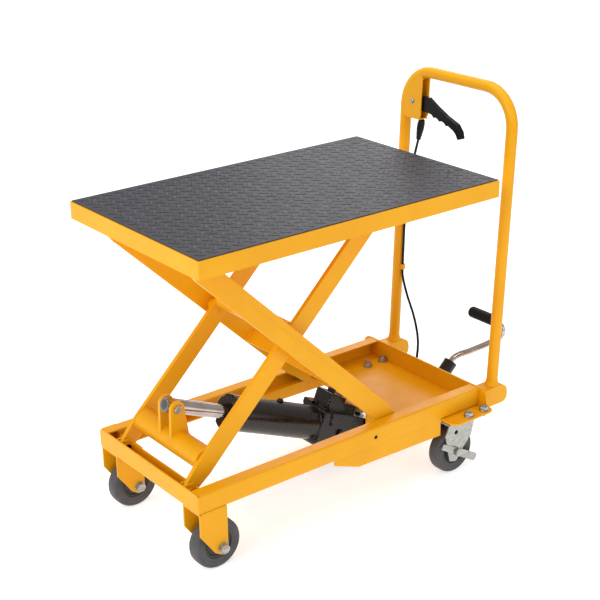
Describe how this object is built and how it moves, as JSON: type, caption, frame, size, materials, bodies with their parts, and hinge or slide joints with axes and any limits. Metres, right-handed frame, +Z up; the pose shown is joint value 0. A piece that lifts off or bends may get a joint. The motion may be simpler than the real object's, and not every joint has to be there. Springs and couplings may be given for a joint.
{
  "type": "scissor lift table",
  "caption": "Mobile scissor lift table: flat matted platform on crossed arms raised by a foot-pumped hydraulic ram, wheeled base frame, upright push handle with a release lever.",
  "frame": {"origin": "On the floor, under the centre of the whole outline seen from above; the floor is z = 0, where the wheels touch.", "axes": "+X towards the push handle, +Y to the side with the release lever, +Z up."},
  "size_m": [0.898, 0.45, 0.8346],
  "materials": {
    "frame_paint": "semi-gloss orange-yellow powder coat",
    "black_paint": "glossy black paint",
    "zinc_steel": "zinc plated",
    "bright_chrome": "polished",
    "grey_tyre": "matte grey elastomer",
    "wheel_core": "moulded dark grey",
    "mat_rubber": "ribbed tread, slightly glossy",
    "black_rubber": "satin",
    "black_plastic": "satin moulded"
  },
  "bodies": {
    "base": {"front_channel": "frame_paint", "side_rail_left": "frame_paint", "side_rail_right": "frame_paint", "rear_tray": "frame_paint", "front_fork_left": "frame_paint", "front_fork_right": "frame_paint", "front_axle_left": "zinc_steel", "front_axle_right": "zinc_steel", "handle_socket_left": "frame_paint", "handle_socket_right": "frame_paint", "handle_tube": "frame_paint", "lever_housing": "frame_paint", "lever_pivot_bolt": "zinc_steel", "release_cable": "black_rubber", "cable_boot": "black_rubber", "pump_bracket": "frame_paint", "caster_plate_left": "zinc_steel", "caster_plate_right": "zinc_steel"},
    "inner_arms": {"inner_arm_left": "frame_paint", "inner_arm_right": "frame_paint", "inner_cross_tube": "frame_paint", "inner_centre_tube": "frame_paint", "clevis_pin": "zinc_steel", "centre_pin_left": "frame_paint", "centre_pin_right": "frame_paint"},
    "outer_arms": {"outer_arm_left": "frame_paint", "outer_arm_right": "frame_paint", "outer_cross_plate": "frame_paint"},
    "platform": {"platform_deck": "frame_paint", "platform_mat": "mat_rubber", "platform_track_left": "frame_paint", "platform_track_right": "frame_paint", "platform_bracket_left": "frame_paint", "platform_bracket_right": "frame_paint"},
    "rod": {"piston_rod": "bright_chrome"},
    "pump": {"cylinder_tube": "black_paint", "gland_nut": "black_paint", "pump_block": "black_paint", "filler_plug": "black_paint"},
    "pedal": {"pedal_lever": "black_paint", "pedal_arm": "bright_chrome", "pedal_grip": "black_rubber"},
    "valve": {"valve_arm": "zinc_steel"},
    "release": {"release_lever": "black_plastic"},
    "front_wheel_left": {"front_tyre_left": "grey_tyre", "front_hub_left": "wheel_core"},
    "caster_left": {"caster_fork_left": "zinc_steel"},
    "rear_wheel_left": {"rear_tyre_left": "grey_tyre", "rear_hub_left": "wheel_core"},
    "brake_left": {"brake_lever_left": "zinc_steel"},
    "base_roller_left": {"base_roller_left": "zinc_steel"},
    "platform_roller_left": {"platform_roller_left": "zinc_steel"},
    "front_wheel_right": {"front_tyre_right": "grey_tyre", "front_hub_right": "wheel_core"},
    "caster_right": {"caster_fork_right": "zinc_steel"},
    "rear_wheel_right": {"rear_tyre_right": "grey_tyre", "rear_hub_right": "wheel_core"},
    "brake_right": {"brake_lever_right": "zinc_steel"},
    "base_roller_right": {"base_roller_right": "zinc_steel"},
    "platform_roller_right": {"platform_roller_right": "zinc_steel"}
  },
  "joints": [
    {"name": "lift", "type": "hinge", "parent": "base", "child": "inner_arms", "pos_m": [-0.425, 0, 0.1625], "axis": [0, -1, 0], "range_deg": [-37.97, 7.82]},
    {"name": "scissor", "type": "hinge", "parent": "inner_arms", "child": "outer_arms", "pos_m": [-0.17541, 0, 0.405], "axis": [0, -1, 0], "range_deg": [-15.65, 75.95]},
    {"name": "platform_pivot", "type": "hinge", "parent": "outer_arms", "child": "platform", "pos_m": [-0.425, 0, 0.6475], "axis": [0, -1, 0], "range_deg": [-37.98, 7.83]},
    {"name": "ram_head", "type": "hinge", "parent": "inner_arms", "child": "rod", "pos_m": [-0.38002, 0, 0.28554], "axis": [0, -1, 0], "range_deg": [-8.26, 40.07]},
    {"name": "ram_stroke", "type": "slide", "parent": "rod", "child": "pump", "axis": [0.9174, 0, -0.398], "range_m": [-0.08227, 0.01702]},
    {"name": "pedal_press", "type": "hinge", "parent": "pump", "child": "pedal", "pos_m": [0.1444, -0.018, 0.0842], "axis": [0, 1, 0], "range_deg": [0, 25], "stiffness_Nm_per_rad": 12, "springref_deg": -20.05},
    {"name": "valve_turn", "type": "hinge", "parent": "pump", "child": "valve", "pos_m": [0.04935, 0.066, 0.08617], "axis": [0, 1, 0], "range_deg": [0, 20.01]},
    {"name": "release_squeeze", "type": "hinge", "parent": "base", "child": "release", "pos_m": [0.38561, 0.131, 0.75345], "axis": [-0.9988, 0, 0.0489], "range_deg": [0, 20], "stiffness_Nm_per_rad": 1.5, "springref_deg": -28.65},
    {"name": "front_wheel_spin_left", "type": "hinge", "parent": "base", "child": "front_wheel_left", "pos_m": [-0.392, -0.1525, 0.0525], "axis": [0, 1, 0], "continuous": true},
    {"name": "caster_swivel_left", "type": "hinge", "parent": "base", "child": "caster_left", "pos_m": [0.266, -0.167, 0.1225], "axis": [0, 0, 1], "continuous": true},
    {"name": "rear_wheel_spin_left", "type": "hinge", "parent": "caster_left", "child": "rear_wheel_left", "pos_m": [0.229, -0.167, 0.0525], "axis": [0, 1, 0], "continuous": true},
    {"name": "brake_left", "type": "hinge", "parent": "caster_left", "child": "brake_left", "pos_m": [0.229, -0.167, 0.0525], "axis": [0, -1, 0], "range_deg": [0, 28]},
    {"name": "base_roller_spin_left", "type": "hinge", "parent": "outer_arms", "child": "base_roller_left", "pos_m": [0.07419, -0.165, 0.1625], "axis": [0, 1, 0], "continuous": true},
    {"name": "platform_roller_spin_left", "type": "hinge", "parent": "inner_arms", "child": "platform_roller_left", "pos_m": [0.07419, -0.1, 0.6475], "axis": [0, 1, 0], "continuous": true},
    {"name": "front_wheel_spin_right", "type": "hinge", "parent": "base", "child": "front_wheel_right", "pos_m": [-0.392, 0.1525, 0.0525], "axis": [0, 1, 0], "continuous": true},
    {"name": "caster_swivel_right", "type": "hinge", "parent": "base", "child": "caster_right", "pos_m": [0.266, 0.167, 0.1225], "axis": [0, 0, 1], "continuous": true},
    {"name": "rear_wheel_spin_right", "type": "hinge", "parent": "caster_right", "child": "rear_wheel_right", "pos_m": [0.229, 0.167, 0.0525], "axis": [0, 1, 0], "continuous": true},
    {"name": "brake_right", "type": "hinge", "parent": "caster_right", "child": "brake_right", "pos_m": [0.229, 0.167, 0.0525], "axis": [0, -1, 0], "range_deg": [0, 28]},
    {"name": "base_roller_spin_right", "type": "hinge", "parent": "outer_arms", "child": "base_roller_right", "pos_m": [0.07419, 0.165, 0.1625], "axis": [0, 1, 0], "continuous": true},
    {"name": "platform_roller_spin_right", "type": "hinge", "parent": "inner_arms", "child": "platform_roller_right", "pos_m": [0.07419, 0.1, 0.6475], "axis": [0, 1, 0], "continuous": true}
  ],
  "couplings": [
    {"joint": "scissor", "follows": "lift", "ratio": -2},
    {"joint": "platform_pivot", "follows": "lift", "ratio": 1},
    {"joint": "ram_head", "follows": "lift", "ratio": -1.055},
    {"joint": "ram_stroke", "follows": "lift", "m_per_rad": 0.124},
    {"joint": "valve_turn", "follows": "release_squeeze", "ratio": 1}
  ]
}
